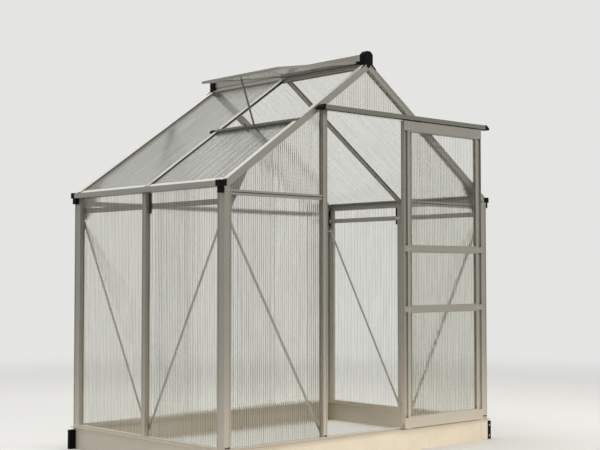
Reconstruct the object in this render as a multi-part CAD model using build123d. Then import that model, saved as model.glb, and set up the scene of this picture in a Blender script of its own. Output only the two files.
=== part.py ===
from build123d import *
import math
import os

# Polycarbonate greenhouse: an aluminium frame on a metal base, glazed with
# twin-wall sheets, with one sliding door and one roof vent held open.
# Millimetres, +Z up. X runs along the door gable, Y from that gable to the back.

# Layout of the frame
bay = 607.0
bays_wide = 3
bays_deep = 2
base_height = 110.0
eave_height = 1335.0
roof_slope = 35.0
rafter_drop = 3.0

# Base skirt and its corner pieces
skirt_thickness = 2.0
skirt_flange = 30.0
corner_cover_reach = 53.0
corner_cover_thickness = 1.5
corner_cover_margin = 3.0
corner_ear_reach = 38.0
corner_ear_depth = 25.0
corner_ear_height = 97.0
corner_ear_round = 6.0
corner_ear_rise = 2.0

# Frame sections
frame_depth = 30.0
post_width = 40.0
post_depth = 52.0
stud_width = 28.0
foot_notch_height = 8.0
foot_notch_margin = 4.0
wall = 2.0
face_rib = 6.0
face_recess = 1.5
sill_height = 16.0
sill_lip = 12.0
sill_lip_thickness = 4.0
rafter_depth = 35.0
rafter_rib = 9.0
mid_rafter_depth = 14.0
gable_bar_height = 24.0
gable_bar_drop = 53.0
gable_bar_setback = 4.0
gable_bar_line = 4.0
mitre_gap = 0.1
seat_gap = 0.3

# Glazing
sheet_thickness = 4.0
sheet_inset = 20.0
sheet_play = 0.3
groove_depth = 8.0
roof_sheet_cover = 6.0

# Eave rail
gutter_reach = 27.0
gutter_inner = 14.0
gutter_height = 28.0
gutter_wall = 2.5
gutter_lip = 5.0
gutter_rim_drop = 3.0
clip_thickness = 2.0
clip_cover = 17.0
clip_seat = 6.0
cap_length = 34.0
cap_round = 2.0
cap_tongue_reach = 16.0
cap_tongue_height = 30.0

# Ridge
ridge_half = 24.0
ridge_wing = 31.0
ridge_bottom = 30.0
ridge_top = 47.0
ridge_neck = 12.0
ridge_shoulder = 9.5
ridge_crest_drop = 9.0
ridge_crest_face = 33.0
ridge_crest = 17.0
ridge_lip_slope = 3.0
ridge_wall = 2.5
ridge_flat = 7.0
ridge_wing_thickness = 6.0
ridge_foot = 10.0
ridge_foot_rise = 4.0
cap_shell = 5.0
cap_shoulder_drop = 16.0
cap_front = 3.0
cap_hold = 10.0
cap_foot = 52.0
cap_foot_rise = 2.0
cap_foot_cover = 4.0
cap_notch_half = 17.0
cap_tip_half = 4.0
cap_tip_drop = 33.0

# Stiffening
tie_height = 26.0
tie_depth = 8.0
tie_drop = 94.0
brace_width = 13.0
brace_thickness = 3.0
brace_drop = 155.0
brace_foot = 24.0
gusset_thickness = 2.0
gusset_drop = 124.0
gusset_reach = 170.0
gusset_toe = 15.0

# Door and its track
door_margin = 5.0
door_stile = 46.0
stile_wall = 2.5
stile_channel = 25.0
stile_channel_depth = 9.0
door_plate = 2.0
door_depth = 24.0
door_clearance = 6.0
door_lift = 7.0
door_head_gap = 6.0
door_top_rail = 55.0
door_bottom_rail = 58.0
door_mid_rail = 39.0
door_rail_lip = 4.0
door_mid_heights = (729.0, 1041.0)
door_stop = 29.5
guide_width = 30.0
guide_thickness = 2.0
guide_tongue = 4.0
guide_height = 14.0
guide_play = 5.0
track_overhang = 30.5
track_inset = 45.5
track_lift = 373.0
track_height = 22.0
track_depth = 38.0
track_wall = 2.5
track_lip = 10.0
track_cap_length = 36.0
track_cap_margin = 2.0
track_cap_toe = 7.0
track_cap_crown = 10.0
track_cap_round = 5.0
roller_radius = 5.5
roller_width = 5.0
roller_run = 3.0
roller_inset = 70.0
pin_radius = 2.5
hanger_width = 30.0
hanger_thickness = 3.0

# Roof vent
vent_angle = 9.7
vent_length = 570.0
vent_thickness = 12.0
vent_side = 24.0
vent_end = 30.0
vent_play = 2.0
vent_bead_radius = 2.5
vent_bead_reach = 1.5
vent_bar_slope = 538.0
vent_bar_width = 24.0
vent_bar_depth = 24.0
vent_bar_tab = 2.0
stay_width = 10.0
stay_thickness = 3.0
stay_hole = 4.0
stay_hole_pitch = 42.0
peg_offset = 60.0
peg_radius = 3.0
peg_height = 14.0
peg_head_radius = 5.0
peg_head_height = 3.0

# Sizes worked out from those above
width = bays_wide * bay + post_width
depth = bays_deep * bay + post_width
half = width / 2
door_face = door_clearance + door_depth
front_reach = max(track_depth, door_face)
front = -(depth + sill_lip - front_reach) / 2
back = front + depth
sill_top = base_height + sill_height
post_top = eave_height - gutter_height
gable_bar_centre = eave_height - gable_bar_drop
tie_centre = eave_height - tie_drop
brace_top = eave_height - brace_drop
slope = math.radians(roof_slope)
rise = math.tan(slope)
roof_foot = eave_height - rafter_drop
ridge_line = roof_foot + rise * half
groove_near = sheet_inset - sheet_play
groove_far = sheet_inset + sheet_thickness + sheet_play
vent_pivot_out = ridge_crest + seat_gap
vent_pivot_height = ridge_line + ridge_top - ridge_crest_drop - ridge_crest_face - seat_gap
sheet_bottom = sill_top - groove_depth + seat_gap
slot_over = -roof_sheet_cover + sheet_play
slot_under = -roof_sheet_cover - sheet_thickness - sheet_play
stud_centres = [-half + post_width / 2 + bay * i for i in range(1, bays_wide)]
side_centres = [front + post_width / 2 + bay * i for i in range(1, bays_deep)]
track_left = stud_centres[0] - track_overhang
track_right = half - track_inset
track_bottom = eave_height + track_lift
door_width = bay + stud_width - 2 * door_margin
door_left_when_open = track_right - door_stop - door_width
door_bottom = base_height + sill_lip_thickness + door_lift
door_top = track_bottom - door_head_gap
door_middle = front - door_clearance - door_depth / 2
guide_lane = guide_tongue / 2 + guide_play
vent_bar_foot = -half + vent_bar_slope * math.cos(slope)


def roof_z(x, normal=0.0):
    """Height at x of a line parallel to the roof, offset along its normal."""
    return roof_foot + rise * (half - abs(x)) + normal / math.cos(slope)


def block(x0, x1, y0, y1, z0, z1):
    """A plain box between two corners."""
    size = (abs(x1 - x0), abs(y1 - y0), abs(z1 - z0))
    middle = ((x0 + x1) / 2, (y0 + y1) / 2, (z0 + z1) / 2)
    return Pos(*middle) * Box(*size)


def section(plane, outline, chambers=()):
    """A closed outline with its hollow chambers, laid in a plane."""
    face = make_face(Polyline(*outline, close=True))
    for chamber in chambers:
        face = face - make_face(Polyline(*chamber, close=True))
    return plane * face


def gable_prism(outline, y0, y1, chambers=()):
    """An outline in X and Z, carried along Y from y0 to y1."""
    plane = Plane(origin=(0, y0, 0), x_dir=(1, 0, 0), z_dir=(0, -1, 0))
    return extrude(section(plane, outline, chambers), amount=y1 - y0, dir=(0, 1, 0))


def plan_prism(outline, z0, z1, chambers=()):
    """An outline in X and Y, carried up from z0 to z1."""
    plane = Plane(origin=(0, 0, z0), x_dir=(1, 0, 0), z_dir=(0, 0, 1))
    return extrude(section(plane, outline, chambers), amount=z1 - z0)


def side_prism(outline, x0, x1, chambers=()):
    """An outline in Y and Z, carried along X from x0 to x1."""
    plane = Plane(origin=(x0, 0, 0), x_dir=(0, 1, 0), z_dir=(1, 0, 0))
    return extrude(section(plane, outline, chambers), amount=x1 - x0)


def slope_prism(outline, y0, chambers=()):
    """An outline in Y and height over the roof line, carried up the whole left slope."""
    low = -half - rafter_depth
    run = (rafter_depth - low) / math.cos(slope)
    plane = Plane(origin=(low, y0, roof_z(low)), x_dir=(0, 1, 0), z_dir=(math.cos(slope), 0, math.sin(slope)))
    return extrude(section(plane, outline, chambers), amount=run)


def rectangle(u0, u1, v0, v1):
    return [(u0, v0), (u1, v0), (u1, v1), (u0, v1)]


def to_back(shape):
    """The same piece on the back gable."""
    return mirror(shape, about=Plane.XZ.offset(-(front + back) / 2))


def to_right(shape):
    """The same piece on the other side of the ridge."""
    return mirror(shape, about=Plane.YZ)


def corners(shape):
    """One piece at each of the four corners, from the one at the front left."""
    left = [shape, to_back(shape)]
    return left + [to_right(piece) for piece in left]


def save(name, pieces):
    """Write the solids of one node to its STEP file."""
    solids = []
    for piece in pieces:
        solids.extend(piece.solids())
    export_step(Compound(children=solids), f"parts/{name}.step")


def mitre_waste(corner, inward, along, reach):
    """Plan outline of what the mitre at one corner takes off a rail."""
    cx, cy = corner
    sx, sy = inward
    span = 9 * reach
    if along == "x":
        cx = cx + sx * mitre_gap
        beyond = (-sx * span, 0)
    else:
        cy = cy + sy * mitre_gap
        beyond = (0, -sy * span)
    near = (cx - sx * 2 * reach, cy - sy * 2 * reach)
    far = (cx + sx * 2 * reach, cy + sy * 2 * reach)
    return [near, far, (far[0] + beyond[0], far[1] + beyond[1]), (near[0] + beyond[0], near[1] + beyond[1])]


def wall_rail(outline, along, chambers=()):
    """A rail round the foot of one wall, mitred at both ends.

    The outline is given as (distance in from the outer face, height)."""
    inward = max(v for v, z in outline)
    outward = -min(v for v, z in outline)
    if along == "x":
        profile = [(front + v, z) for v, z in outline]
        hollows = [[(front + v, z) for v, z in chamber] for chamber in chambers]
        rail = side_prism(profile, -half - outward, half + outward, hollows)
        ends = [((-half, front), (1, 1)), ((half, front), (-1, 1))]
    else:
        profile = [(-half + v, z) for v, z in outline]
        hollows = [[(-half + v, z) for v, z in chamber] for chamber in chambers]
        rail = gable_prism(profile, front - outward, back + outward, hollows)
        ends = [((-half, front), (1, 1)), ((-half, back), (1, -1))]
    low = min(z for v, z in outline) - wall
    high = max(z for v, z in outline) + wall
    for corner, direction in ends:
        rail = rail - plan_prism(mitre_waste(corner, direction, along, inward + outward), low, high)
    return rail


def skirt_outline():
    t = skirt_thickness
    f = skirt_flange
    h = base_height
    return [(0, 0), (f, 0), (f, t), (t, t), (t, h - t), (f, h - t), (f, h), (0, h)]


def sill_outline():
    low = base_height
    return [(-sill_lip, low), (frame_depth, low), (frame_depth, sill_top), (groove_far, sill_top),
            (groove_far, sill_top - groove_depth), (groove_near, sill_top - groove_depth),
            (groove_near, sill_top), (0, sill_top), (0, low + sill_lip_thickness),
            (-sill_lip, low + sill_lip_thickness)]


def sill_chamber():
    return rectangle(wall, groove_near - wall, base_height + wall, sill_top - wall)


def corner_cover():
    """Folded plate that wraps the corner of the base over both skirts."""
    t = corner_cover_thickness
    x0 = -half
    y0 = front
    reach = corner_cover_reach
    outline = [(x0 - t, y0 - t), (x0 + reach, y0 - t), (x0 + reach, y0), (x0, y0), (x0, y0 + reach),
               (x0 - t, y0 + reach)]
    return plan_prism(outline, corner_cover_margin, base_height - corner_cover_margin)


def corner_ear():
    """The black piece that ties two skirt plates and sticks out beside the gable."""
    ear = block(-half - corner_ear_reach, -half - corner_cover_thickness, front + skirt_thickness,
                front + skirt_thickness + corner_ear_depth, corner_ear_rise,
                corner_ear_rise + corner_ear_height)
    outer = ear.edges().filter_by(Axis.Z).group_by(Axis.X)[0]
    return fillet(outer, corner_ear_round)


def foot_notch(x0, x1):
    """What is cut out of the front face of an upright where it stands on the sill."""
    return block(x0 + foot_notch_margin, x1 - foot_notch_margin, front - wall, front + face_recess + wall,
                 sill_top, sill_top + foot_notch_height)


def corner_post():
    """Post with a channel in each outer face and a glazing groove for each of its two walls."""
    x0 = -half
    y0 = front
    r = face_recess
    outline = [(0, 0), (face_rib, 0), (face_rib, r), (post_width - face_rib, r), (post_width - face_rib, 0),
               (post_width, 0), (post_width, groove_near), (post_width - groove_depth, groove_near),
               (post_width - groove_depth, groove_far), (post_width, groove_far),
               (post_width, frame_depth), (frame_depth, frame_depth), (frame_depth, post_depth),
               (groove_far, post_depth), (groove_far, post_depth - groove_depth),
               (groove_near, post_depth - groove_depth), (groove_near, post_depth), (0, post_depth),
               (0, post_depth - face_rib), (r, post_depth - face_rib), (r, face_rib), (0, face_rib)]
    side_leg = rectangle(r + wall, groove_near - wall, r + wall, post_depth - wall)
    front_leg = rectangle(groove_near, post_width - wall, r + wall, groove_near - wall)
    chambers = [[(x0 + u, y0 + v) for u, v in chamber] for chamber in (side_leg, front_leg)]
    post = plan_prism([(x0 + u, y0 + v) for u, v in outline], sill_top, post_top, chambers)
    return post - foot_notch(x0, x0 + post_width)


def stud_outline():
    """Section of a wall stud: across the wall, then in from its outer face."""
    a = stud_width / 2
    right = [(a - face_rib, face_recess), (a - face_rib, 0), (a, 0), (a, groove_near),
             (a - groove_depth, groove_near), (a - groove_depth, groove_far), (a, groove_far),
             (a, frame_depth)]
    left = [(-u, v) for u, v in reversed(right)]
    return right + left


def stud_chamber():
    a = stud_width / 2 - wall
    return rectangle(-a, a, face_recess + wall, groove_near - wall)


def gable_stud(centre):
    """A stud of the gable, cut off under the rafter."""
    top = ridge_line + ridge_top
    outline = [(centre + u, front + v) for u, v in stud_outline()]
    chamber = [(centre + u, front + v) for u, v in stud_chamber()]
    stud = plan_prism(outline, sill_top, top, [chamber])
    stud = stud - foot_notch(centre - stud_width / 2, centre + stud_width / 2)
    under = [(x, roof_z(x, -rafter_depth) - seat_gap) for x in (-half, 0, half)]
    above = under + [(half, top + wall), (-half, top + wall)]
    return stud - gable_prism(above, front - wall, front + frame_depth + wall)


def side_stud(centre):
    """A stud of the left wall."""
    outline = [(-half + v, centre + u) for u, v in stud_outline()]
    chamber = [(-half + v, centre + u) for u, v in stud_chamber()]
    return plan_prism(outline, sill_top, post_top, [chamber])


def eave_rail():
    """Left gutter, with a groove in its inner wall that holds the foot of the roof sheets."""
    g = gutter_wall
    low = post_top
    high = eave_height - gutter_rim_drop
    web = gutter_inner - g
    seat = gutter_inner + clip_seat
    cover = gutter_inner + clip_cover
    over = -roof_sheet_cover + seat_gap
    under = -roof_sheet_cover - sheet_thickness - seat_gap
    foot = [(-gutter_reach, low), (frame_depth, low), (frame_depth, low + g), (gutter_inner, low + g)]
    groove = [(gutter_inner, under - clip_thickness), (seat, under - clip_thickness), (seat, under),
              (gutter_inner, under), (gutter_inner, over), (cover, over), (cover, over + clip_thickness),
              (web, over + clip_thickness)]
    rim = -gutter_reach + gutter_lip
    gutter = [(web, low + g), (-gutter_reach + g, low + g), (-gutter_reach + g, high - g), (rim, high - g),
              (rim, high), (-gutter_reach, high)]
    outline = foot + [(v, roof_z(-half + v, lift)) for v, lift in groove] + gutter
    rail = gable_prism([(-half + v, z) for v, z in outline], front + cap_length, back - cap_length)
    for centre in side_centres:
        room = frame_depth / 2 + seat_gap
        rail = rail - block(-half + gutter_inner, -half + cover + wall, centre - room, centre + room,
                            low + g, eave_height + clip_cover)
    return rail


def eave_cap():
    """Moulded end piece of the gutter, with a tongue down the side of the post."""
    low = post_top
    tip = low - cap_tongue_height
    outline = [(-gutter_reach, low), (-cap_tongue_reach, low), (-cap_tongue_reach, tip), (0, tip), (0, low),
               (gutter_inner, low), (gutter_inner, eave_height), (-gutter_reach, eave_height)]
    cap = gable_prism([(-half + v, z) for v, z in outline], front, front + cap_length)
    return fillet(cap.edges().group_by(Axis.Y)[0], cap_round)


def ridge_outline():
    """Section of the ridge beam: a crest over two hinge channels, wings over the sheets, two feet below."""
    top = ridge_line + ridge_top
    crest = top - ridge_crest_drop
    lip = crest - ridge_crest_face
    bottom = ridge_line - ridge_bottom
    wing_low = roof_z(ridge_wing, seat_gap)
    right = [(ridge_flat, top), (ridge_crest, crest), (ridge_crest, lip), (ridge_neck, lip - ridge_lip_slope),
             (ridge_neck, ridge_line - ridge_shoulder), (ridge_wing, wing_low + ridge_wing_thickness),
             (ridge_wing, wing_low), (ridge_half, roof_z(ridge_half, seat_gap)), (ridge_half, bottom),
             (ridge_half - ridge_foot, bottom), (ridge_half - ridge_foot, bottom + ridge_foot_rise)]
    left = [(-x, z) for x, z in reversed(right)]
    return right + left


def ridge_beam():
    """The beam with its two chambers: one over the feet, one up the neck and inside the crest."""
    t = ridge_wall
    low = ridge_line - ridge_bottom + ridge_foot_rise + t
    side = ridge_half - t
    neck = ridge_neck - t
    shoulder = ridge_line - ridge_shoulder
    crest = ridge_line + ridge_top - ridge_crest_drop
    lower = [(side, low), (side, roof_z(side, -t)), (neck, shoulder - 2 * t)]
    lip = crest - ridge_crest_face
    upper = [(neck, shoulder), (neck, lip), (ridge_crest - t, lip + t), (ridge_crest - t, crest - t),
             (ridge_flat, ridge_line + ridge_top - t)]
    chambers = [right + [(-x, z) for x, z in reversed(right)] for right in (lower, upper)]
    return gable_prism(ridge_outline(), front + cap_length, back - cap_length, chambers)


def ridge_cap():
    """Moulded end piece that sits on both rafters, with a lip in front of them: two feet and a tip between."""
    side = ridge_half + cap_shell
    top = ridge_line + ridge_top + cap_shell
    right = [(ridge_flat + cap_shell, top), (side, top - cap_shoulder_drop), (side, roof_z(side, seat_gap))]
    left = [(-x, z) for x, z in reversed(right)]
    body = gable_prism(right + [(0, roof_z(0, seat_gap))] + left, front - cap_front, front + cap_length)
    right = [(cap_foot, roof_z(cap_foot) + cap_foot_rise), (cap_foot, roof_z(cap_foot) - cap_foot_cover),
             (cap_notch_half, roof_z(cap_notch_half) - cap_foot_cover),
             (cap_tip_half, ridge_line - cap_tip_drop)]
    left = [(-x, z) for x, z in reversed(right)]
    lip = gable_prism(right + left + [(0, ridge_line + cap_hold)], front - cap_front, front - seat_gap)
    cap = body + lip
    return fillet(cap.edges().group_by(Axis.Y)[0], cap_round)


def rafter_outline(foot, end):
    """Left gable rafter seen from the gable: seat on the post, plumb cut in the middle."""
    start = -half + gutter_inner + seat_gap
    toe = -half + (foot - roof_foot + rafter_depth / math.cos(slope)) / rise
    return [(start, roof_z(start)), (end, roof_z(end)), (end, roof_z(end, -rafter_depth)),
            (toe, foot), (start, foot)]


def gable_rafter():
    """Rafter of the gable: two ribs in front, a slot for the roof sheet and one for the gable sheet."""
    r = face_recess
    inner = frame_depth - groove_depth
    foot = -rafter_depth
    outline = [(0, 0), (frame_depth, 0), (frame_depth, slot_over), (inner, slot_over), (inner, slot_under),
               (frame_depth, slot_under), (frame_depth, foot), (groove_far, foot),
               (groove_far, foot + groove_depth), (groove_near, foot + groove_depth), (groove_near, foot),
               (0, foot), (0, foot + face_rib), (r, foot + face_rib), (r, -rafter_rib), (0, -rafter_rib)]
    chamber = rectangle(r + wall, groove_near - wall, foot + wall, -wall)
    side = rafter_outline(post_top + seat_gap, -mitre_gap)
    return slope_prism(outline, front, [chamber]) & gable_prism(side, front, front + frame_depth)


def mid_rafter(centre):
    """Rafter between two roof sheets: two ribs and a channel on top, a slot on each side."""
    a = frame_depth / 2
    neck = a - groove_depth
    foot = -mid_rafter_depth
    right = [(a - face_rib, -face_recess), (a - face_rib, 0), (a, 0), (a, slot_over), (neck, slot_over),
             (neck, slot_under), (a, slot_under), (a, foot)]
    left = [(-u, n) for u, n in reversed(right)]
    chamber = rectangle(wall - neck, neck - wall, foot + wall, -face_recess - wall)
    start = -half + gutter_inner + seat_gap
    end = -ridge_half - seat_gap
    side = [(start, roof_z(start)), (end, roof_z(end)), (end, roof_z(end, foot)),
            (start, roof_z(start, foot))]
    return slope_prism(right + left, centre, [chamber]) & gable_prism(side, centre - a, centre + a)


def gable_bar(x0, x1):
    """Level bar between two uprights, slotted above and below for the sheets."""
    h = gable_bar_height / 2
    line = gable_bar_line / 2
    face = gable_bar_setback
    floor = face + face_recess
    upper = [(floor, line), (face, line), (face, h), (groove_near, h), (groove_near, h - groove_depth),
             (groove_far, h - groove_depth), (groove_far, h), (frame_depth, h)]
    outline = upper + [(v, -z) for v, z in reversed(upper)]
    hollow = rectangle(floor + wall, groove_near - wall, -h + wall, h - wall)
    profile = [(front + v, gable_bar_centre + z) for v, z in outline]
    chamber = [(front + v, gable_bar_centre + z) for v, z in hollow]
    return side_prism(profile, x0 + seat_gap, x1 - seat_gap, [chamber])


def bay_edges():
    """Left and right clear edges of each gable bay."""
    edges = [-half + post_width]
    for centre in stud_centres:
        edges.extend([centre - stud_width / 2, centre + stud_width / 2])
    edges.append(half - post_width)
    return list(zip(edges[::2], edges[1::2]))


def side_bay_edges():
    edges = [front + post_depth]
    for centre in side_centres:
        edges.extend([centre - stud_width / 2, centre + stud_width / 2])
    edges.append(back - post_depth)
    return list(zip(edges[::2], edges[1::2]))


def in_groove(low, high):
    """Edges of a sheet that enters the grooves of its two neighbours."""
    return low - groove_depth + seat_gap, high + groove_depth - seat_gap


def lower_gable_sheet(x0, x1):
    a, b = in_groove(x0, x1)
    top = gable_bar_centre - gable_bar_height / 2 + groove_depth - seat_gap
    return block(a, b, front + sheet_inset, front + sheet_inset + sheet_thickness, sheet_bottom, top)


def upper_gable_sheet(x0, x1, bottom):
    """Sheet between a level bar and the rafters."""
    a, b = in_groove(x0, x1)
    lift = -rafter_depth + groove_depth - seat_gap
    apex = [(0, roof_z(0, lift))] if x0 < 0 < x1 else []
    points = [(a, bottom), (b, bottom), (b, roof_z(b, lift))] + apex + [(a, roof_z(a, lift))]
    return gable_prism(points, front + sheet_inset, front + sheet_inset + sheet_thickness)


def side_sheet(y0, y1):
    a, b = in_groove(y0, y1)
    return block(-half + sheet_inset, -half + sheet_inset + sheet_thickness, a, b,
                 sheet_bottom, post_top - seat_gap)


def roof_sheet(y0, y1, start, end):
    """Roof sheet from x start at the eave to x end towards the ridge, square cut."""
    a = y0 - groove_depth + seat_gap
    b = y1 + groove_depth - seat_gap
    over = -roof_sheet_cover
    under = -roof_sheet_cover - sheet_thickness
    lean = sheet_thickness * math.sin(slope)
    return gable_prism([(start, roof_z(start, over)), (end, roof_z(end, over)),
                        (end + lean, roof_z(end + lean, under)),
                        (start + lean, roof_z(start + lean, under))], a, b)


def flat_bar(start, finish, width, y0, y1):
    """Flat bar with round ends between two points of the gable plane."""
    dx = finish[0] - start[0]
    dz = finish[1] - start[1]
    length = math.hypot(dx, dz)
    middle = ((start[0] + finish[0]) / 2, (y0 + y1) / 2, (start[1] + finish[1]) / 2)
    plane = Plane(origin=middle, x_dir=(dx, 0, dz), z_dir=(0, 1, 0))
    shape = plane * SlotCenterToCenter(length, width)
    return extrude(shape, amount=(y1 - y0) / 2, both=True)


def side_flat_bar(start, finish, width, x0, x1):
    """Flat bar with round ends between two points of a side wall."""
    dy = finish[0] - start[0]
    dz = finish[1] - start[1]
    length = math.hypot(dy, dz)
    middle = ((x0 + x1) / 2, (start[0] + finish[0]) / 2, (start[1] + finish[1]) / 2)
    plane = Plane(origin=middle, x_dir=(0, dy, dz), z_dir=(1, 0, 0))
    shape = plane * SlotCenterToCenter(length, width)
    return extrude(shape, amount=(x1 - x0) / 2, both=True)


def front_brace():
    """Diagonal of the left gable bay, on the inner face of post and stud."""
    y0 = front + frame_depth
    head = (-half + frame_depth + brace_width / 2 + seat_gap, brace_top)
    foot = (stud_centres[0] - stud_width / 2 + brace_width / 2, sill_top + brace_foot)
    return flat_bar(head, foot, brace_width, y0, y0 + brace_thickness)


def side_brace():
    """Diagonal of the front bay of the left wall."""
    x0 = -half + frame_depth
    head = (front + post_depth - brace_width / 2, brace_top)
    foot = (side_centres[0] - brace_width / 2 - 0.5, sill_top + brace_foot)
    return side_flat_bar(head, foot, brace_width, x0, x0 + brace_thickness)


def tie_bar():
    """Level bar inside the left wall, under the eave."""
    return block(-half + frame_depth, -half + frame_depth + tie_depth, front + frame_depth + 6,
                 back - frame_depth - 6, tie_centre - tie_height / 2, tie_centre + tie_height / 2)


def gusset():
    """Plate that stiffens the corner of post and rafter."""
    x0 = -half + frame_depth + 1
    x1 = -half + post_width + gusset_toe
    low = eave_height - gusset_drop - gusset_toe
    far = -half + gusset_reach
    lift = -(rafter_depth + roof_sheet_cover + sheet_thickness) / 2 - sheet_thickness
    tip = far + gusset_toe
    outline = [(x0, low), (x1, low), (far, roof_z(far, -rafter_depth)), (tip, roof_z(tip, lift)),
               (x0, roof_z(x0, lift))]
    return gable_prism(outline, front + frame_depth, front + frame_depth + gusset_thickness)


def door_x():
    return door_left_when_open, door_left_when_open + door_width


def door_groove(x0, x1, z0, z1):
    play = sheet_thickness / 2 + sheet_play
    return block(x0, x1, door_middle - play, door_middle + play, z0, z1)


def guide_slot(x0, x1):
    """The lane under the door in which the fixed guide's tongue runs."""
    return block(x0, x1, door_middle - guide_lane, door_middle + guide_lane, door_bottom,
                 door_bottom + guide_height + guide_play)


def door_stiles():
    """Two uprights, each a channel open to the front beside a lip that holds the sheets."""
    x0, x1 = door_x()
    face = front - door_face + door_plate + seat_gap
    floor = face + stile_channel_depth
    rear = front - door_clearance
    edge = stile_wall + stile_channel
    outline = [(0, face), (stile_wall, face), (stile_wall, floor), (edge, floor), (edge, face),
               (door_stile, face), (door_stile, rear), (0, rear)]
    chamber = rectangle(wall, door_stile - groove_depth - wall, floor + wall, rear - wall)
    stile = plan_prism([(x0 + u, y) for u, y in outline], door_bottom, door_top,
                       [[(x0 + u, y) for u, y in chamber]])
    inner = x0 + door_stile
    stile = stile - door_groove(inner - groove_depth, inner, door_bottom, door_top)
    stile = stile - guide_slot(x0, inner)
    middle = (x0 + x1) / 2
    return [stile, mirror(stile, about=Plane.YZ.offset(middle))]


def door_rail_levels():
    """Lower and upper edge of each door rail."""
    levels = [(door_bottom, door_bottom + door_bottom_rail)]
    for height in door_mid_heights:
        levels.append((height - door_mid_rail / 2, height + door_mid_rail / 2))
    levels.append((door_top - door_top_rail, door_top))
    return levels


def door_rails():
    """Level members: a face plate over both stiles, and between them a slotted box whose lips show."""
    x0, x1 = door_x()
    face = front - door_face
    near = face + door_plate
    far = front - door_clearance - door_plate
    rails = []
    levels = door_rail_levels()
    for i, (low, high) in enumerate(levels):
        floor = low + groove_depth
        if i == 0:
            floor = low + guide_height + guide_play
        ceiling = high - groove_depth
        chamber = rectangle(near + wall, far - wall, floor + wall, ceiling - wall)
        rail = side_prism(rectangle(near, far, low, high), x0 + door_stile + seat_gap,
                          x1 - door_stile - seat_gap, [chamber])
        plate_low = low if i == 0 else low + door_rail_lip
        plate_high = high if i == len(levels) - 1 else high - door_rail_lip
        rail = rail + block(x0, x1, face, near, plate_low, plate_high)
        if i > 0:
            rail = rail - door_groove(x0, x1, low, low + groove_depth)
        else:
            rail = rail - guide_slot(x0, x1)
        if i < len(levels) - 1:
            rail = rail - door_groove(x0, x1, high - groove_depth, high)
        rails.append(rail)
    return rails


def door_guide():
    """Fixed angle on the sill's lip, with the tongue that keeps the door's foot in line."""
    x1 = stud_centres[-1] - stud_width / 2 - seat_gap
    x0 = x1 - guide_width
    low = base_height + sill_lip_thickness
    tongue = guide_tongue / 2
    rear = front - seat_gap
    outline = [(rear, low), (rear, low + guide_thickness), (door_middle + tongue, low + guide_thickness),
               (door_middle + tongue, door_bottom + guide_height),
               (door_middle - tongue, door_bottom + guide_height), (door_middle - tongue, low)]
    return side_prism(outline, x0, x1)


def door_sheets():
    x0, x1 = door_x()
    a, b = in_groove(x0 + door_stile, x1 - door_stile)
    near = door_middle - sheet_thickness / 2
    levels = door_rail_levels()
    sheets = []
    for below, above in zip(levels[:-1], levels[1:]):
        low = below[1] - groove_depth + seat_gap
        high = above[0] + groove_depth - seat_gap
        sheets.append(block(a, b, near, near + sheet_thickness, low, high))
    return sheets


def door_hangers():
    """Two plates with a roller each, standing on the door's top rail."""
    x0, x1 = door_x()
    lip_edge = front - track_depth + track_lip
    lane = (front - track_depth + track_wall + lip_edge) / 2
    plate = lip_edge + roller_run
    centre = track_bottom + track_wall + seat_gap + roller_radius
    hangers = []
    for x in (x0 + roller_inset, x1 - roller_inset):
        leg = block(x - hanger_width / 2, x + hanger_width / 2, plate, plate + hanger_thickness,
                    door_top, centre + roller_radius / 2)
        wheel = Pos(x, lane, centre) * Rot(90, 0, 0) * Cylinder(roller_radius, roller_width)
        pin = Pos(x, (lane + plate) / 2, centre) * Rot(90, 0, 0) * Cylinder(pin_radius, plate - lane)
        hangers.append(leg + wheel + pin)
    return hangers


def door_track():
    """C-shaped rail on the front of the gable, open at the bottom."""
    t = track_wall
    top = track_bottom + track_height
    y0 = front - track_depth
    outline = [(y0, track_bottom), (y0 + track_lip, track_bottom), (y0 + track_lip, track_bottom + t),
               (y0 + t, track_bottom + t), (y0 + t, top - t), (front - t, top - t),
               (front - t, track_bottom), (front, track_bottom), (front, top), (y0, top)]
    return side_prism(outline, track_left, track_right)


def track_cap(inner, side):
    """Moulded end piece of the track, with a ramp down to its outer end."""
    low = track_bottom - track_cap_margin
    high = track_bottom + track_height + track_cap_margin
    outer = inner + side * track_cap_length
    crown = inner + side * track_cap_crown
    outline = [(inner, low), (outer, low), (outer, low + track_cap_toe), (crown, high), (inner, high)]
    cap = gable_prism(outline, front - track_depth, front)
    nose = cap.edges().filter_by(Axis.Z).filter_by(lambda edge: abs(edge.center().X - outer) < wall)
    return fillet(nose, track_cap_round)


def vent_point(along, lift):
    """Point of the open vent: distance down from the pivot, height over its underside."""
    lean = math.radians(vent_angle)
    x = -vent_pivot_out - along * math.cos(lean) - (lift - vent_thickness) * math.sin(lean)
    z = vent_pivot_height - along * math.sin(lean) + (lift - vent_thickness) * math.cos(lean)
    return x, z


def vent_box(a0, a1, y0, y1, n0, n1):
    """A box in the vent's own directions: down from the pivot, along Y, up from the underside."""
    outline = [vent_point(a0, n0), vent_point(a1, n0), vent_point(a1, n1), vent_point(a0, n1)]
    return gable_prism(outline, y0, y1)


def vent_span():
    return front + cap_length + vent_play, side_centres[0] - vent_play


def vent_frame():
    """The vent's four members, grooved for its sheet, with the bead that turns in the ridge's channel."""
    y0, y1 = vent_span()
    t = vent_thickness
    s = vent_side
    far = vent_length - vent_end
    frame = vent_box(0, vent_length, y0, y1, 0, t) - vent_box(s, far, y0 + s, y1 - s, -1, t + 1)
    play = sheet_thickness / 2 + sheet_play
    g = groove_depth
    frame = frame - vent_box(s - g, far + g, y0 + s - g, y1 - s + g, t / 2 - play, t / 2 + play)
    x, z = vent_point(-vent_bead_reach, t / 2)
    return frame + Pos(x, (y0 + y1) / 2, z) * Rot(90, 0, 0) * Cylinder(vent_bead_radius, y1 - y0)


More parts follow.
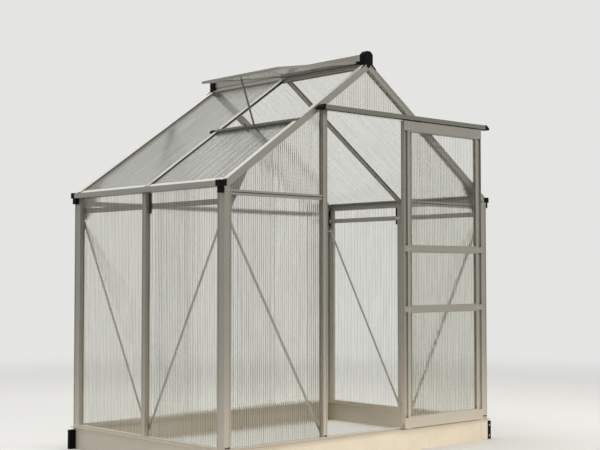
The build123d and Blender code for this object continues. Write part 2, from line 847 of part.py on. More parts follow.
def vent_sheet():
    y0, y1 = vent_span()
    bite = vent_side - groove_depth + seat_gap
    low = (vent_thickness - sheet_thickness) / 2
    far = vent_length - vent_end + groove_depth - seat_gap
    return vent_box(bite, far, y0 + bite, y1 - bite, low, low + sheet_thickness)


def slope_slab(x0, x1, y0, y1, under, over):
    """A slab along the left slope between two heights over the roof line."""
    return gable_prism([(x0, roof_z(x0, over)), (x1, roof_z(x1, over)), (x1, roof_z(x1, under)),
                        (x0, roof_z(x0, under))], y0, y1)


def on_vent_bar(y):
    """Plane on top of the vent bar, square to the roof, at its middle."""
    x = vent_bar_foot + vent_bar_width * math.cos(slope) / 2
    return Plane(origin=(x, y, roof_z(x)), x_dir=(0, 1, 0), z_dir=(-math.sin(slope), 0, math.cos(slope)))


def vent_bar():
    """Bar across the bay under the vent's free edge, with a tab on each rafter and the stay's peg."""
    x1 = vent_bar_foot + vent_bar_width * math.cos(slope)
    y0 = front + frame_depth + seat_gap
    y1 = side_centres[0] - frame_depth / 2 - seat_gap
    bar = slope_slab(vent_bar_foot, x1, y0, y1, -vent_bar_depth, seat_gap + vent_bar_tab)
    tab_end = side_centres[0] + frame_depth / 2
    tabs = slope_slab(vent_bar_foot, x1, front, tab_end, seat_gap, seat_gap + vent_bar_tab)
    bite = groove_depth * math.cos(slope)
    bar = bar - slope_slab(vent_bar_foot - bite, vent_bar_foot + bite, y0, y1, slot_under, slot_over)
    top = on_vent_bar(sum(vent_span()) / 2 + peg_offset)
    shank = Pos(0, 0, peg_height / 2) * Cylinder(peg_radius, peg_height)
    head = Pos(0, 0, peg_height + peg_head_height / 2) * Cylinder(peg_head_radius, peg_head_height)
    return bar + tabs + top * shank + top * head


def vent_stay():
    """Flat stay from the vent's free edge down to the bar, with its row of holes."""
    middle = sum(vent_span()) / 2
    top = vent_point(vent_length - vent_end / 2, -stay_width / 2 - seat_gap)
    x0 = vent_bar_foot + vent_bar_width * math.cos(slope) / 2
    foot = (x0, roof_z(x0, vent_bar_tab + stay_width / 2 + 2 * seat_gap))
    y0 = middle - stay_thickness / 2
    stay = flat_bar(top, foot, stay_width, y0, y0 + stay_thickness)
    length = math.hypot(top[0] - foot[0], top[1] - foot[1])
    for i in range(1, int(length / stay_hole_pitch)):
        share = i * stay_hole_pitch / length
        x = foot[0] + share * (top[0] - foot[0])
        z = foot[1] + share * (top[1] - foot[1])
        stay = stay - Pos(x, middle, z) * Rot(90, 0, 0) * Cylinder(stay_hole / 2, 2 * stay_thickness)
    return stay


os.makedirs("parts", exist_ok=True)

bays = bay_edges()
side_bays = side_bay_edges()
door_bay = len(bays) // 2

front_skirt = wall_rail(skirt_outline(), "x")
left_skirt = wall_rail(skirt_outline(), "y")
save("base_front", [front_skirt])
save("base_back", [to_back(front_skirt)])
save("base_left", [left_skirt])
save("base_right", [to_right(left_skirt)])
save("base_corner_covers", corners(corner_cover()))
save("base_corner_ears", corners(corner_ear()))

front_sill = wall_rail(sill_outline(), "x", [sill_chamber()])
left_sill = wall_rail(sill_outline(), "y", [sill_chamber()])
save("sill_front", [front_sill])
save("sill_back", [to_back(front_sill)])
save("sill_left", [left_sill])
save("sill_right", [to_right(left_sill)])

save("corner_posts", corners(corner_post()))
gable_studs = [gable_stud(centre) for centre in stud_centres]
save("gable_studs_front", gable_studs)
save("gable_studs_back", [to_back(stud) for stud in gable_studs])
side_studs = [side_stud(centre) for centre in side_centres]
save("side_studs", side_studs + [to_right(stud) for stud in side_studs])

save("eave_rails", [eave_rail(), to_right(eave_rail())])
save("eave_end_caps", corners(eave_cap()))
save("ridge_beam", [ridge_beam()])
save("ridge_end_caps", [ridge_cap(), to_back(ridge_cap())])

save("gable_rafters", corners(gable_rafter()))
middle_rafters = [mid_rafter(centre) for centre in side_centres]
save("middle_rafters", middle_rafters + [to_right(rafter) for rafter in middle_rafters])

outer_bays = [bays[0], bays[-1]]
save("gable_bars_front", [gable_bar(*edges) for edges in outer_bays])
save("gable_bars_back", [to_back(gable_bar(*edges)) for edges in bays])
save("tie_bars", [tie_bar(), to_right(tie_bar())])
save("gusset_plates", corners(gusset()))
save("gable_braces", corners(front_brace()))
save("side_braces", corners(side_brace()))

bar_top = gable_bar_centre + gable_bar_height / 2 - groove_depth + seat_gap
save("wall_sheets_front", [lower_gable_sheet(*edges) for edges in outer_bays])
save("gable_sheets_front", [upper_gable_sheet(*edges, bar_top) for edges in outer_bays]
     + [upper_gable_sheet(*bays[door_bay], track_bottom)])
save("wall_sheets_back", [to_back(lower_gable_sheet(*edges)) for edges in bays])
save("gable_sheets_back", [to_back(upper_gable_sheet(*edges, bar_top)) for edges in bays])
left_sheets = [side_sheet(*edges) for edges in side_bays]
save("wall_sheets_left", left_sheets)
save("wall_sheets_right", [to_right(sheet) for sheet in left_sheets])

roof_start = -half + gutter_inner + seat_gap
roof_end = -ridge_half - seat_gap - sheet_thickness
roof_bays = [(front + frame_depth, side_centres[0] - frame_depth / 2),
             (side_centres[-1] + frame_depth / 2, back - frame_depth)]
below_vent = vent_bar_foot + (groove_depth - seat_gap) * math.cos(slope) - sheet_thickness
front_roof = roof_sheet(*roof_bays[0], roof_start, roof_end)
back_roof = roof_sheet(*roof_bays[1], roof_start, roof_end)
left_roof = [roof_sheet(*roof_bays[0], roof_start, below_vent), back_roof]
right_roof = [to_right(front_roof), to_right(back_roof)]
save("roof_sheets_left", left_roof)
save("roof_sheets_right", right_roof)

save("vent_bar", [vent_bar()])
save("vent_frame", [vent_frame()])
save("vent_sheet", [vent_sheet()])
save("vent_stay", [vent_stay()])

save("door_guide", [door_guide()])
save("door_track", [door_track()])
save("track_end_caps", [track_cap(track_left, -1), track_cap(track_right, 1)])
save("door_stiles", door_stiles())
save("door_rails", door_rails())
save("door_sheets", door_sheets())
save("door_hangers", door_hangers())
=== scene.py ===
# %% [markdown]
# # A small polycarbonate greenhouse
# The CAD model gives every bar and sheet its place. This script dresses it: a photographer's stage,
# finishes for the metals and mouldings, real twin-wall sheets with their flutes, the bolts and screws that
# hold the house together, and thin dark strips of painted shade. All lengths are in metres, in the CAD
# model's own frame: +Z up, the door gable facing -Y.

# %% Load the frame
import math
from itertools import chain

import bpy
import numpy as np
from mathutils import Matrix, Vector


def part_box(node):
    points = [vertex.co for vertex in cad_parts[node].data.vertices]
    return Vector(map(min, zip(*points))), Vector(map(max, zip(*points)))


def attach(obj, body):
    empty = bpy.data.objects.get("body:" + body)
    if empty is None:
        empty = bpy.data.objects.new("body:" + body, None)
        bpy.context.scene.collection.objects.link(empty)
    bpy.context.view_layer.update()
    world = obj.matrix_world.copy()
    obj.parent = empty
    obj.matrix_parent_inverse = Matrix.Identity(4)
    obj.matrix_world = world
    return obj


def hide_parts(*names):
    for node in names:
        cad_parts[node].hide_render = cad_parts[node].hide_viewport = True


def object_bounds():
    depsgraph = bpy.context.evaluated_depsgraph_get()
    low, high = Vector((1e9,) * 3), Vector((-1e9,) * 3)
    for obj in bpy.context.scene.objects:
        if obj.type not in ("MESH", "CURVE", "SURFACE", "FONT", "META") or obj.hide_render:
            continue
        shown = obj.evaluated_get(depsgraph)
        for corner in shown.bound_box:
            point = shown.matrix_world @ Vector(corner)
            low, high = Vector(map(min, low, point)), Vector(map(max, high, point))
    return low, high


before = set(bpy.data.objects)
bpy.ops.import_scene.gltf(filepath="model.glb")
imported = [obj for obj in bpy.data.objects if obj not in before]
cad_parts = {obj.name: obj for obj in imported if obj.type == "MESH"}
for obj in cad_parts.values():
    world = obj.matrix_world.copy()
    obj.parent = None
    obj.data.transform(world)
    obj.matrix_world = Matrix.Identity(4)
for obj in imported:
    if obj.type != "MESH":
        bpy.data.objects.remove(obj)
cad_low, cad_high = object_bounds()
print("cad box", [round(v, 3) for v in cad_high - cad_low])

# %% [markdown]
# ## Camera
# The photograph was taken from low down, about 0.9 m above the ground, off the corner where the left wall
# meets the door gable. The camera's place, turn and lens were solved from the corners of the house. In that
# fit most corners fell within a pixel of their place in the photograph, and the worst about two pixels off.

# %% Camera
camera_place = (-4.2823, -4.7716, 0.9088)
camera_rise = math.radians(2.377)
camera_turn = math.radians(-42.516)
camera_lens = 71.22
sensor_width = 36.0

camera_data = bpy.data.cameras.new("camera")
camera_data.lens = camera_lens
camera_data.sensor_width = sensor_width
camera = bpy.data.objects.new("camera", camera_data)
camera.location = camera_place
camera.rotation_euler = (math.pi / 2 + camera_rise, 0, camera_turn)
bpy.context.scene.collection.objects.link(camera)
bpy.context.scene.camera = camera
print("camera", camera_place, "lens", camera_lens, "mm")

# %% [markdown]
# ## Node helpers
# Every finish below is a node tree. A few small helpers keep those trees readable: they add a node and fill
# its sockets, start an empty material, do arithmetic, and tell rays that show something from rays that only
# carry light. A socket is given a number or another node's output.


# %% Node helpers
def add(tree, kind, inputs=None, **settings):
    """Add one shader node: settings are its own options, inputs its sockets by name or number."""
    made = tree.nodes.new("ShaderNode" + kind)
    for key, value in settings.items():
        setattr(made, key, value)
    for key, value in (inputs or {}).items():
        if isinstance(value, bpy.types.NodeSocket):
            tree.links.new(value, made.inputs[key])
        else:
            made.inputs[key].default_value = value
    return made


def new_material(name):
    """An empty node material and its tree."""
    material = bpy.data.materials.new(name)
    material.use_nodes = True
    material.node_tree.nodes.clear()
    return material, material.node_tree


def maths(tree, operation, *values, clamp=False):
    """One Math node on two or three numbers or sockets."""
    return add(tree, "Math", dict(enumerate(values)), operation=operation, use_clamp=clamp).outputs[0]


def seen_directly(tree):
    """1 for rays from the camera, off a shiny surface or through a clear one; 0 for rays that carry light."""
    path = add(tree, "LightPath")
    either = maths(tree, "MAXIMUM", path.outputs["Is Camera Ray"], path.outputs["Is Glossy Ray"])
    return maths(tree, "MAXIMUM", either, path.outputs["Is Transmission Ray"])


# %% [markdown]
# ## Stage
# Clear sheets and bare metal take their look from what surrounds them, so the stage is plain: a pale floor
# that runs to the horizon and a pale surround of the same tone. The floor is a real diffuse surface near
# the house, so it keeps the shadow, and turns into the surround's flat tone farther out, which hides the
# horizon. The light that it throws back up under the bars is held down, so that undersides stay darker than
# tops. Only the patch before the door throws back more, and warmer, as bright ground does.

# %% Stage
surround_tone = (0.78, 0.78, 0.765, 1.0)
floor_tone = (0.79, 0.78, 0.76, 1.0)
floor_bounce = (0.40, 0.385, 0.355, 1.0)
ambient_strength = 0.42
ground_glow = (1.0, 0.90, 0.76, 1.0)
ground_glow_strength = 1.0
glow_middle = (0.1, -1.3, 0.0)
glow_reach = 1.7
floor_size = 400.0
floor_fade_start = 2.6
floor_fade_end = 7.5

world = bpy.data.worlds.new("studio")
world.use_nodes = True
tree = world.node_tree
tree.nodes.clear()
shown = add(tree, "Background", {"Color": surround_tone, "Strength": 1.0})
ambient = add(tree, "Background", {"Color": (0.97, 0.985, 1.0, 1.0), "Strength": ambient_strength})
both = add(tree, "MixShader", {0: seen_directly(tree), 1: ambient.outputs[0], 2: shown.outputs[0]})
add(tree, "OutputWorld", {"Surface": both.outputs[0]})
bpy.context.scene.world = world

floor_finish, tree = new_material("studio_floor")
place = add(tree, "TexCoord").outputs["Object"]
away = add(tree, "VectorMath", {0: place}, operation="LENGTH").outputs["Value"]
fade = add(tree, "MapRange", {"Value": away, "From Min": floor_fade_start, "From Max": floor_fade_end},
           interpolation_type="SMOOTHSTEP").outputs[0]
pale = add(tree, "BsdfDiffuse", {"Color": floor_tone})
dimmer = add(tree, "BsdfDiffuse", {"Color": floor_bounce})
from_patch = add(tree, "VectorMath", {0: place, 1: glow_middle}, operation="DISTANCE").outputs["Value"]
patch = add(tree, "MapRange", {"Value": from_patch, "From Min": glow_reach, "From Max": glow_reach / 2,
                               "To Max": ground_glow_strength}).outputs[0]
glow = add(tree, "Emission", {"Color": ground_glow, "Strength": patch})
thrown_back = add(tree, "AddShader", {0: dimmer.outputs[0], 1: glow.outputs[0]})
bounced = add(tree, "LightPath").outputs["Is Diffuse Ray"]
matt = add(tree, "MixShader", {0: bounced, 1: pale.outputs[0], 2: thrown_back.outputs[0]})
flat_tone = add(tree, "Emission", {"Color": surround_tone, "Strength": 1.0})
share = maths(tree, "MULTIPLY", fade, seen_directly(tree))
both = add(tree, "MixShader", {0: share, 1: matt.outputs[0], 2: flat_tone.outputs[0]})
add(tree, "OutputMaterial", {"Surface": both.outputs[0]})

floor_half = floor_size / 2
floor_mesh = bpy.data.meshes.new("studio_floor")
floor_mesh.from_pydata([(-floor_half, -floor_half, 0), (floor_half, -floor_half, 0),
                        (floor_half, floor_half, 0), (-floor_half, floor_half, 0)], [], [(0, 1, 2, 3)])
floor_mesh.materials.append(floor_finish)
floor = bpy.data.objects.new("studio_floor", floor_mesh)
bpy.context.scene.collection.objects.link(floor)

# %% [markdown]
# ## Lamps
# Three large area lamps stand in for soft daylight: a warm key from the front, a cool fill from the left
# and a neutral one from above. They only light. If the flutes and the metal mirrored them, every sheet
# would glitter and the vent would show a white square. A ray may cross dozens of clear walls, so the limits
# on its path are raised.


# %% Lamps
def soft_lamp(name, place, size, power, tone):
    """A square area lamp aimed at the middle of the house. It only lights: no ray or reflection shows it."""
    data = bpy.data.lights.new(name, "AREA")
    data.size = size
    data.energy = power
    data.color = tone
    lamp = bpy.data.objects.new(name, data)
    lamp.location = place
    aim = (cad_low + cad_high) / 2 - lamp.location
    lamp.rotation_euler = aim.to_track_quat("-Z", "Y").to_euler()
    lamp.visible_camera = lamp.visible_glossy = lamp.visible_transmission = False
    bpy.context.scene.collection.objects.link(lamp)
    return lamp


soft_lamp("key_lamp", (2.6, -5.6, 5.2), 3.6, 260.0, (1.0, 0.95, 0.87))
soft_lamp("fill_lamp", (-6.0, 0.5, 3.2), 4.0, 50.0, (0.86, 0.93, 1.0))
soft_lamp("top_lamp", (-0.9, 1.5, 6.5), 5.0, 280.0, (1.0, 1.0, 0.98))
clear_walls_crossed = 64
bends_followed = 32
settings = bpy.context.scene
settings.view_settings.view_transform = "Standard"
settings.cycles.transparent_max_bounces = clear_walls_crossed
settings.cycles.max_bounces = bends_followed
settings.cycles.transmission_bounces = bends_followed
print("stage ready,", len(bpy.data.lights), "lamps")

# %% [markdown]
# ## Metal finishes
# The frame is made of aluminium extrusions. A press leaves fine lines along each bar and nothing across it,
# so the pattern is a noise that is squeezed across the bar and stretched along it. The squeeze works on
# object coordinates, which are the same for every node, so one finish is made for each direction that bars
# run in. Faces that look up are given a paler tone, a painted sheen that stands for the sky's reflection and
# sets the tops of rafters and gutters off. In the photograph the lower bars are paler and warmer. No dust can
# be made out on them, and the finish paints that tone as light from the ground, in a film that grows
# towards the base. The door track and the bar under the vent lie in shade there and get darker tones, and the
# vent's frame a weaker sheen on its tops: painted shade, which the real metal may not have.


# %% Streak coordinates
def along_bar(tree, direction, stretch, tilt=0.0):
    """Object coordinates in which one axis counts little, so that a noise turns into streaks along it.

    For bars up the roof, x is replaced by its distance from the ridge, which makes both slopes lie the same
    way, and the plane of x and z is turned by the roof's tilt."""
    place = add(tree, "TexCoord").outputs["Object"]
    if tilt:
        split = add(tree, "SeparateXYZ", {0: place})
        from_ridge = maths(tree, "ABSOLUTE", split.outputs[0])
        place = add(tree, "CombineXYZ", {0: from_ridge, 1: split.outputs[1], 2: split.outputs[2]}).outputs[0]
        place = add(tree, "VectorRotate", {"Vector": place, "Angle": tilt}, rotation_type="Y_AXIS").outputs[0]
    scale = [1.0, 1.0, 1.0]
    scale["xyz".index(direction)] = 1.0 / stretch
    return add(tree, "Mapping", {"Vector": place, "Scale": scale}).outputs[0]


def noise(tree, vector, scale, detail=2.0):
    return add(tree, "TexNoise", {"Vector": vector, "Scale": scale, "Detail": detail}).outputs["Fac"]


def spread(tree, value, low, high):
    """A noise value from 0.25 to 0.75 spread over another range."""
    return add(tree, "MapRange", {"Value": value, "From Min": 0.25, "From Max": 0.75, "To Min": low,
                                  "To Max": high}).outputs[0]


def tinted(tree, colour, value):
    """A colour, or a socket that gives one, made lighter or darker by a number."""
    return add(tree, "VectorMath", {0: colour, "Scale": value}, operation="SCALE").outputs[0]


# %% Extruded aluminium
aluminium = (0.325, 0.313, 0.276)
# Painted shade: darker tones for the bar under the vent and for the door track.
shaded_aluminium = (0.075, 0.073, 0.06)
track_aluminium = (0.19, 0.19, 0.155)
# Painted sheen: pale tones for faces that look up, which stand for the sky's reflection.
painted_sheen = (0.73, 0.705, 0.655)
vent_painted_sheen = (0.56, 0.53, 0.44)
# Painted light from the ground: a pale warm tone that grows towards the base.
ground_light_tone = (0.80, 0.715, 0.595)
ground_light_top = 1.15
ground_light_most = 0.85
ground_light_falloff = 3.0
metal_share = 0.42
bare_roughness = 0.42
steep, gentle = 0.5, 0.7
line_spacing = 0.0009
smudge_size = 0.16


def sheen_on_tops(tree, colour, pale):
    """A pale tone on faces that look up, a painted sheen: none where the face leans 60 degrees or more from
    level, all of it from about 45 degrees down. Steep and gentle are the upward parts of the face's direction
    there."""
    upward = add(tree, "SeparateXYZ", {0: add(tree, "NewGeometry").outputs["Normal"]}).outputs[2]
    share = add(tree, "MapRange", {"Value": upward, "From Min": steep, "From Max": gentle}).outputs[0]
    return add(tree, "Mix", {0: share, 6: (*colour, 1.0), 7: (*pale, 1.0)}, data_type="RGBA").outputs[2]


def with_ground_light(tree, colour):
    """Painted light from the ground over a colour: most of it at the ground, none above a set height, and
    between them it grows with the third power of the distance below that height."""
    height = add(tree, "SeparateXYZ", {0: add(tree, "TexCoord").outputs["Object"]}).outputs[2]
    below = add(tree, "MapRange", {"Value": height, "From Min": ground_light_top, "From Max": 0.0}).outputs[0]
    share = maths(tree, "MULTIPLY", maths(tree, "POWER", below, ground_light_falloff), ground_light_most)
    return add(tree, "Mix", {0: share, 6: colour, 7: (*ground_light_tone, 1.0)}, data_type="RGBA").outputs[2]


def extruded(name, direction, tilt=0.0, colour=aluminium, roughness=bare_roughness, pale=painted_sheen):
    """Bare aluminium: fine press lines along the bar, wide faint smudges, and a soft reflection, with a
    painted sheen on faces that look up and painted light from the ground towards the base.
    """
    material, tree = new_material(name)
    lines = noise(tree, along_bar(tree, direction, 240.0, tilt), 1 / line_spacing)
    smudges = noise(tree, add(tree, "TexCoord").outputs["Object"], 1 / smudge_size, 4.0)
    shade = maths(tree, "ADD", spread(tree, lines, 0.95, 1.03), spread(tree, smudges, -0.05, 0.04))
    dull = maths(tree, "ADD", spread(tree, lines, -0.05, 0.06),
                 spread(tree, smudges, roughness - 0.06, roughness + 0.09))
    relief = add(tree, "Bump", {"Strength": 0.25, "Distance": 0.00008, "Height": lines}).outputs[0]
    # Painted sheen on the tops, then painted light from the ground towards the base.
    colour = with_ground_light(tree, sheen_on_tops(tree, colour, pale))
    shader = add(tree, "BsdfPrincipled", {"Base Color": tinted(tree, colour, shade), "Metallic": metal_share,
                                          "Roughness": dull, "Normal": relief})
    add(tree, "OutputMaterial", {"Surface": shader.outputs[0]})
    return material


roof_tilt = math.radians(35.0)
bar_across = extruded("aluminium_across", "x")
bar_deep = extruded("aluminium_deep", "y")
bar_upright = extruded("aluminium_upright", "z")
bar_sloping = extruded("aluminium_sloping", "x", roof_tilt)
# The bar under the vent and the door track take painted shade, and the vent's frame a weaker painted sheen.
vent_bar_finish = extruded("aluminium_dark", "y", colour=shaded_aluminium, pale=shaded_aluminium)
track_finish = extruded("aluminium_track", "x", colour=track_aluminium)
vent_finish = extruded("aluminium_vent", "y", pale=vent_painted_sheen)
print("four directions of one extruded finish, and duller ones for the track, the vent and the bar under it")

# %% [markdown]
# The folded base is galvanised sheet, paler and warmer than the frame, with the faint crystal flakes that
# zinc forms as it cools. The diagonal braces and plates are flat steel with a duller plating. The corner
# plates and the vent's stay get darker tones, which are painted shade.


# %% Base, bracing and fixings
def galvanised(name, colour, roughness, flake, metallic):
    """Zinc-coated steel: flat flakes of slightly different tone over a soft cloudy dulling."""
    material, tree = new_material(name)
    place = add(tree, "TexCoord").outputs["Object"]
    flakes = add(tree, "TexVoronoi", {"Vector": place, "Scale": 1 / flake}, feature="F1").outputs["Color"]
    flake_tone = add(tree, "SeparateColor", {0: flakes}).outputs[0]
    clouds = noise(tree, place, 9.0, 5.0)
    shade = maths(tree, "ADD", maths(tree, "MULTIPLY_ADD", flake_tone, 0.05, 0.975),
                  spread(tree, clouds, -0.04, 0.03))
    dull = maths(tree, "ADD", maths(tree, "MULTIPLY", flake_tone, 0.08),
                 spread(tree, clouds, roughness - 0.05, roughness + 0.07))
    relief = add(tree, "Bump", {"Strength": 0.2, "Distance": 0.0002, "Height": clouds}).outputs[0]
    shader = add(tree, "BsdfPrincipled", {"Base Color": tinted(tree, colour, shade), "Metallic": metallic,
                                          "Roughness": dull, "Normal": relief})
    add(tree, "OutputMaterial", {"Surface": shader.outputs[0]})
    return material


base_zinc = galvanised("base_zinc", (0.74, 0.675, 0.56), 0.46, 0.012, 0.15)
brace_zinc = galvanised("brace_zinc", (0.52, 0.505, 0.45), 0.40, 0.005, 0.6)
# Painted shade: the corner plates are given a darker tone than the braces.
plate_zinc = galvanised("plate_zinc", (0.30, 0.305, 0.295), 0.40, 0.005, 0.45)
# Painted shade: the vent's stay is given a darker tone still.
stay_zinc = galvanised("stay_zinc", (0.17, 0.165, 0.14), 0.42, 0.005, 0.7)
bolt_zinc = galvanised("bolt_zinc", (0.66, 0.66, 0.63), 0.30, 0.004, 0.7)

# %% [markdown]
# The end caps and corner ears are injection-moulded black plastic: nearly black, with the fine grain that a
# spark-eroded mould leaves.


# %% Mouldings
def moulded(name, colour, roughness, grain):
    """Moulded plastic: a fine even grain in the surface and slightly uneven gloss."""
    material, tree = new_material(name)
    place = add(tree, "TexCoord").outputs["Object"]
    fine = noise(tree, place, 1 / grain, 3.0)
    patches = noise(tree, place, 22.0, 3.0)
    shade = spread(tree, patches, 0.85, 1.2)
    dull = spread(tree, patches, roughness - 0.06, roughness + 0.08)
    relief = add(tree, "Bump", {"Strength": 0.35, "Distance": 0.00015, "Height": fine}).outputs[0]
    shader = add(tree, "BsdfPrincipled", {"Base Color": tinted(tree, colour, shade), "Roughness": dull,
                                          "Specular IOR Level": 0.06, "Normal": relief})
    add(tree, "OutputMaterial", {"Surface": shader.outputs[0]})
    return material


# Dark strips of painted shade along the gable bars and the middle rafters.
shade_strip_finish = moulded("shade_strip_finish", (0.02, 0.02, 0.019), 0.6, 0.0008)
black_moulding = moulded("black_moulding", (0.006, 0.006, 0.006), 0.55, 0.0006)
roller_nylon = moulded("roller_nylon", (0.16, 0.16, 0.17), 0.5, 0.0008)

# %% Dress the CAD nodes
finish_of = {
    bar_across: ["sill_front", "sill_back", "gable_bars_front", "gable_bars_back", "door_rails"],
    track_finish: ["door_track"],
    bar_deep: ["sill_left", "sill_right", "eave_rails", "ridge_beam", "tie_bars"],
    vent_finish: ["vent_frame"],
    vent_bar_finish: ["vent_bar"],
    bar_upright: ["corner_posts", "gable_studs_front", "gable_studs_back", "side_studs", "door_stiles"],
    bar_sloping: ["gable_rafters", "middle_rafters"],
    base_zinc: ["base_front", "base_back", "base_left", "base_right", "base_corner_covers"],
    brace_zinc: ["gable_braces", "side_braces", "door_guide"],
    plate_zinc: ["gusset_plates"],
    stay_zinc: ["vent_stay"],
    black_moulding: ["base_corner_ears", "eave_end_caps", "ridge_end_caps", "track_end_caps"],
    roller_nylon: ["door_hangers"],
}
for finish, names in finish_of.items():
    for name in names:
        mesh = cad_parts[name].data
        mesh.materials.clear()
        mesh.materials.append(finish)
print("dressed", sum(len(names) for names in finish_of.values()), "CAD nodes")

# %% [markdown]
# ## Clear sheets
# Twin-wall polycarbonate is two thin skins held apart by upright webs. Sheets this thin commonly have a web
# about every 6 mm. Here they stand 12.8 mm apart, a coarser choice that isn't true to scale, so that a
# flute is not much finer than a pixel. The skins sink a little between the webs, so each flute is a weak
# lens: what lies behind is smeared sideways and stays sharp up and down. That is why the flutes are
# modelled and not painted. The outer faces refract, with a lower index than the real plastic's, which is
# about 1.58, so they bend and mirror a little less. The webs inside are plain clear surfaces that tint the
# light. The skin is darker in a soft band over each web, where the plastic is thicker, and the band is
# drawn much wider than the web. Both draw fine upright lines. From afar a flute is about one or two pixels
# wide, so part of the lines' pattern then comes from the picture's own grid. Lamps pass straight through
# the sheets, because light bent by thousands of small lenses would only be noise.

# %% Clear finishes
sheet_tint = (0.965, 0.965, 0.955)
lamp_tint = (0.91, 0.91, 0.895)
haze_tone = (0.80, 0.80, 0.775)
web_tint = (0.975, 0.975, 0.965)
skin_blur = 0.05
plastic_index = 1.45
web_line = 0.36
web_line_loss = 0.26
web_line_loss_behind = 0.04


def clear_skin(name):
    """Clear plastic that bends light, with thin streaks of haze and a darker band over each web.

    The sheet's own map counts flutes in its first direction, so a web lies at every whole number. The tint
    over a web is deepest at the web and gone after a set share of a flute, and some webs are fainter than
    others. Haze and strong bands are kept to the nearest skin, because the flutes in front break up those
    farther back. The skins behind it only bend light, since their reflections would add nothing but noise."""
    material, tree = new_material(name)
    place = add(tree, "UVMap", uv_map="flutes").outputs[0]
    across = add(tree, "SeparateXYZ", {0: place}).outputs[0]
    from_web = maths(tree, "PINGPONG", across, 0.5)
    over_web = add(tree, "MapRange", {"Value": from_web, "From Min": 0.0, "From Max": web_line, "To Min": 1.0,
                                      "To Max": 0.0}, interpolation_type="SMOOTHSTEP").outputs[0]
    streaked = add(tree, "Mapping", {"Vector": place, "Scale": (0.012, 0.06, 1.0)}).outputs[0]
    streaks = noise(tree, streaked, 60.0, 4.0)
    clouds = noise(tree, add(tree, "TexCoord").outputs["Object"], 2.5, 3.0)
    path = add(tree, "LightPath")
    haze_share = maths(tree, "ADD", spread(tree, streaks, 0.01, 0.05), spread(tree, clouds, 0.0, 0.04))
    haze_share = maths(tree, "MULTIPLY", haze_share, path.outputs["Is Camera Ray"])
    loss = maths(tree, "MULTIPLY_ADD", path.outputs["Is Camera Ray"], web_line_loss - web_line_loss_behind,
                 web_line_loss_behind)
    loss = maths(tree, "MULTIPLY", loss, spread(tree, streaks, 0.45, 1.5))
    clear_share = maths(tree, "SUBTRACT", 1.0, maths(tree, "MULTIPLY", over_web, loss))
    tone = tinted(tree, sheet_tint, clear_share)
    shiny = add(tree, "BsdfGlass", {"Color": tone, "Roughness": skin_blur, "IOR": plastic_index})
    bent = add(tree, "BsdfRefraction", {"Color": tone, "Roughness": skin_blur, "IOR": plastic_index})
    glass = add(tree, "MixShader", {0: path.outputs["Is Camera Ray"], 1: bent.outputs[0],
                                    2: shiny.outputs[0]})
    lit = add(tree, "BsdfDiffuse", {"Color": (*haze_tone, 1.0)})
    glow = add(tree, "BsdfTranslucent", {"Color": (*haze_tone, 1.0)})
    haze = add(tree, "MixShader", {0: 0.5, 1: lit.outputs[0], 2: glow.outputs[0]})
    seen = add(tree, "MixShader", {0: haze_share, 1: glass.outputs[0], 2: haze.outputs[0]})
    through = add(tree, "BsdfTransparent", {"Color": (*lamp_tint, 1.0)})
    passes = maths(tree, "MAXIMUM", path.outputs["Is Shadow Ray"], path.outputs["Is Diffuse Ray"])
    both = add(tree, "MixShader", {0: passes, 1: seen.outputs[0], 2: through.outputs[0]})
    add(tree, "OutputMaterial", {"Surface": both.outputs[0]})
    return material


def flute_wall(name, tint):
    """Clear wall inside a flute: see-through with a tint, and without a shine of its own."""
    material, tree = new_material(name)
    through = add(tree, "BsdfTransparent", {"Color": (*tint, 1.0)})
    add(tree, "OutputMaterial", {"Surface": through.outputs[0]})
    return material


skin_finish = clear_skin("polycarbonate_skin")
lining_finish = flute_wall("polycarbonate_lining", (0.99, 0.99, 0.985))
web_finish = flute_wall("polycarbonate_web", web_tint)


# %% Solids of a node
def solids(name):
    """Corner points of each separate solid in a CAD node.

    Equal corners of the node's loose triangles become one. Then every corner takes the lowest number found in
    its triangles, over and over, until each solid holds a single number."""
    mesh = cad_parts[name].data
    points = np.empty(len(mesh.vertices) * 3)
    mesh.vertices.foreach_get("co", points)
    corners = np.empty(len(mesh.loops), dtype=int)
    mesh.loops.foreach_get("vertex_index", corners)
    points, merged = np.unique(np.round(points.reshape(-1, 3), 5), axis=0, return_inverse=True)
    triangles = merged.ravel()[corners].reshape(-1, 3)
    number = np.arange(len(points))
    settled = False
    while not settled:
        lowest = np.repeat(number[triangles].min(axis=1), 3)
        before = number.copy()
        np.minimum.at(number, triangles.ravel(), lowest)
        settled = np.array_equal(before, number)
    return [points[number == value] for value in np.unique(number)]


def new_piece(name, points, face_groups, finishes, face_finish=None):
    """A mesh object from points and arrays of faces. All faces of one array have equally many corners."""
    mesh = bpy.data.meshes.new(name)
    faces = list(chain.from_iterable(group.tolist() for group in face_groups))
    mesh.from_pydata(points.tolist(), [], faces)
    for finish in finishes:
        mesh.materials.append(finish)
    if face_finish is not None:
        mesh.polygons.foreach_set("material_index", face_finish)
    piece = bpy.data.objects.new(name, mesh)
    bpy.context.scene.collection.objects.link(piece)
    return piece


# %% Outline of a sheet
flute_pitch = 0.0128
skin_wall = 0.00045
web_wall = 0.0004
skin_sink = 0.0003
steps_per_flute = 6
sink_spread = 0.35
sheet_random = np.random.default_rng(7)


def sheet_axes(points):
    """Width, flute and thickness directions of a flat sheet.

    The thickness is the direction in which the corners spread least, the width is level and square to it, and
    the flutes run square to both, up the wall or the slope."""
    thick = np.linalg.svd(points - points.mean(axis=0))[2][2]
    across = np.cross((0, 0, 1), thick)
    across = across / np.linalg.norm(across)
    return np.array([across, np.cross(thick, across), thick])


